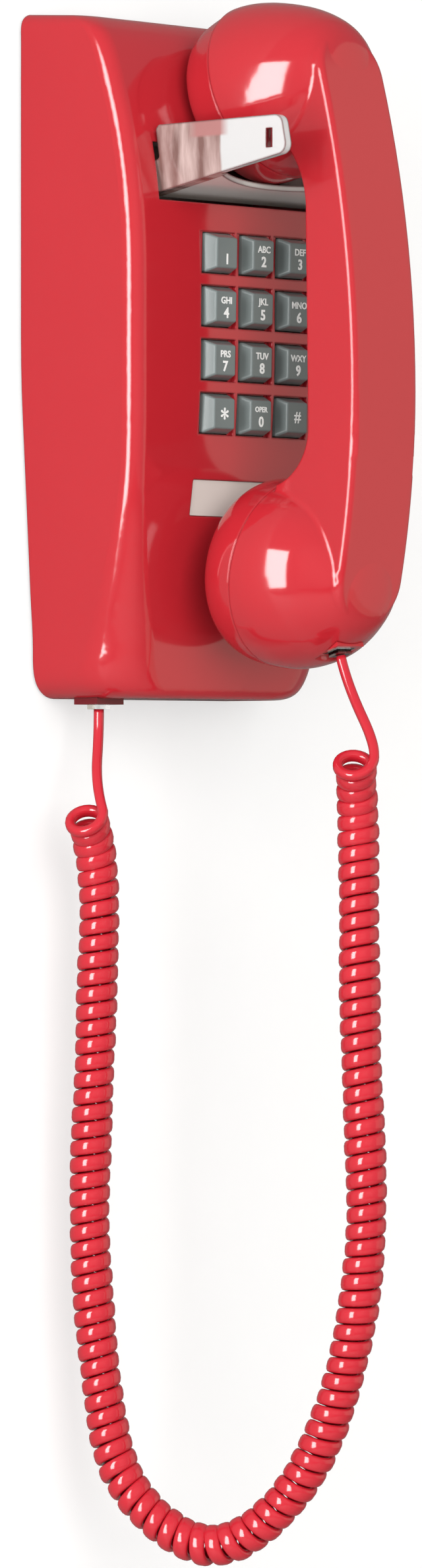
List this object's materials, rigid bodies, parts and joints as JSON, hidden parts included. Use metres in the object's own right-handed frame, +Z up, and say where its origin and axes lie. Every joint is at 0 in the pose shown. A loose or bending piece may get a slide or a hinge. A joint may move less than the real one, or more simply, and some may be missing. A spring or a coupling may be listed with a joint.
{
  "type": "corded wall telephone",
  "caption": "Push-button wall telephone: crowned moulded housing, keypad, clear turning hook, and a handset hung on it with a long coiled cord.",
  "frame": {"origin": "midway between the two keyholes, on the wall's plane", "axes": "+X along the wall to the right of someone facing the telephone, +Y into the wall, +Z up"},
  "size_m": [0.1176, 0.116, 0.5337],
  "materials": {
    "red_shell": "high gloss moulded red",
    "red_cord": "satin red jacket",
    "clear_plastic": "clear, polished",
    "grey_key": "satin grey",
    "white_card": "plain white",
    "grey_moulding": "pale grey moulding",
    "black_moulding": "black moulding",
    "plated_steel": "zinc plated",
    "bright_steel": "bright",
    "bell_brass": "spun brass",
    "copper_winding": "enamelled copper winding",
    "contact_rubber": "matt",
    "circuit_board": "varnished board",
    "aluminium_unit": "pressed can"
  },
  "bodies": {
    "base": {"housing_shell": "red_shell", "cord_base_tail": "red_cord", "cord_coil": "red_cord", "cord_handset_tail": "red_cord", "number_window": "clear_plastic", "base_plug": "clear_plastic", "number_card": "white_card", "base_jack": "grey_moulding", "line_plug": "grey_moulding", "base_plate": "plated_steel", "hook_bracket": "plated_steel", "ringer_frame": "plated_steel", "hook_pin": "bright_steel", "housing_screws": "bright_steel", "hook_spring": "bright_steel", "volume_shaft": "bright_steel", "hook_switch": "black_moulding", "network_block": "black_moulding", "keypad_frame": "black_moulding", "keypad_board": "circuit_board", "network_board": "circuit_board", "gong_left": "bell_brass", "gong_right": "bell_brass", "ringer_coil": "copper_winding", "key_mat": "contact_rubber"},
    "handset": {"handset_handle": "red_shell", "receiver_cap": "red_shell", "transmitter_cap": "red_shell", "handset_plug": "clear_plastic", "handset_jack": "grey_moulding", "receiver_capsule": "aluminium_unit", "transmitter_capsule": "aluminium_unit", "transmitter_cup": "black_moulding"},
    "hook": {"hook_lever": "clear_plastic"},
    "bell_clapper": {"clapper": "bright_steel"},
    "loudness": {"volume_wheel": "black_moulding"},
    "button_1": {"key_1": "grey_key"},
    "button_2": {"key_2": "grey_key"},
    "button_3": {"key_3": "grey_key"},
    "button_4": {"key_4": "grey_key"},
    "button_5": {"key_5": "grey_key"},
    "button_6": {"key_6": "grey_key"},
    "button_7": {"key_7": "grey_key"},
    "button_8": {"key_8": "grey_key"},
    "button_9": {"key_9": "grey_key"},
    "button_star": {"key_star": "grey_key"},
    "button_0": {"key_0": "grey_key"},
    "button_pound": {"key_pound": "grey_key"}
  },
  "joints": [
    {"name": "handset_lift", "type": "slide", "parent": "base", "child": "handset", "axis": [0, -0.7071, 0.7071], "range_m": [0, 0.08]},
    {"name": "hook_turn", "type": "hinge", "parent": "base", "child": "hook", "pos_m": [0, -0.022, 0.078], "axis": [-1, 0, 0], "range_deg": [0, 8.2], "stiffness_Nm_per_rad": 0.2, "springref_deg": 11.46},
    {"name": "clapper_swing", "type": "hinge", "parent": "base", "child": "bell_clapper", "pos_m": [0, -0.013, -0.058], "axis": [0, 1, 0], "range_deg": [-8, 8], "stiffness_Nm_per_rad": 0.005},
    {"name": "loudness_turn", "type": "hinge", "parent": "base", "child": "loudness", "pos_m": [0.028, -0.026, -0.1054], "axis": [0, -1, 0], "range_deg": [0, 270]},
    {"name": "press_1", "type": "slide", "parent": "base", "child": "button_1", "axis": [0, 0.9997, 0.0236], "range_m": [0, 0.003], "stiffness_N_per_m": 200},
    {"name": "press_2", "type": "slide", "parent": "base", "child": "button_2", "axis": [0, 0.9997, 0.0236], "range_m": [0, 0.003], "stiffness_N_per_m": 200},
    {"name": "press_3", "type": "slide", "parent": "base", "child": "button_3", "axis": [0, 0.9997, 0.0236], "range_m": [0, 0.003], "stiffness_N_per_m": 200},
    {"name": "press_4", "type": "slide", "parent": "base", "child": "button_4", "axis": [0, 0.9997, 0.0236], "range_m": [0, 0.003], "stiffness_N_per_m": 200},
    {"name": "press_5", "type": "slide", "parent": "base", "child": "button_5", "axis": [0, 0.9997, 0.0236], "range_m": [0, 0.003], "stiffness_N_per_m": 200},
    {"name": "press_6", "type": "slide", "parent": "base", "child": "button_6", "axis": [0, 0.9997, 0.0236], "range_m": [0, 0.003], "stiffness_N_per_m": 200},
    {"name": "press_7", "type": "slide", "parent": "base", "child": "button_7", "axis": [0, 0.9997, 0.0236], "range_m": [0, 0.003], "stiffness_N_per_m": 200},
    {"name": "press_8", "type": "slide", "parent": "base", "child": "button_8", "axis": [0, 0.9997, 0.0236], "range_m": [0, 0.003], "stiffness_N_per_m": 200},
    {"name": "press_9", "type": "slide", "parent": "base", "child": "button_9", "axis": [0, 0.9997, 0.0236], "range_m": [0, 0.003], "stiffness_N_per_m": 200},
    {"name": "press_star", "type": "slide", "parent": "base", "child": "button_star", "axis": [0, 0.9997, 0.0236], "range_m": [0, 0.003], "stiffness_N_per_m": 200},
    {"name": "press_0", "type": "slide", "parent": "base", "child": "button_0", "axis": [0, 0.9997, 0.0236], "range_m": [0, 0.003], "stiffness_N_per_m": 200},
    {"name": "press_pound", "type": "slide", "parent": "base", "child": "button_pound", "axis": [0, 0.9997, 0.0236], "range_m": [0, 0.003], "stiffness_N_per_m": 200}
  ],
  "couplings": [
    {"joint": "hook_turn", "follows": "handset_lift", "rad_per_m": 1.74}
  ]
}
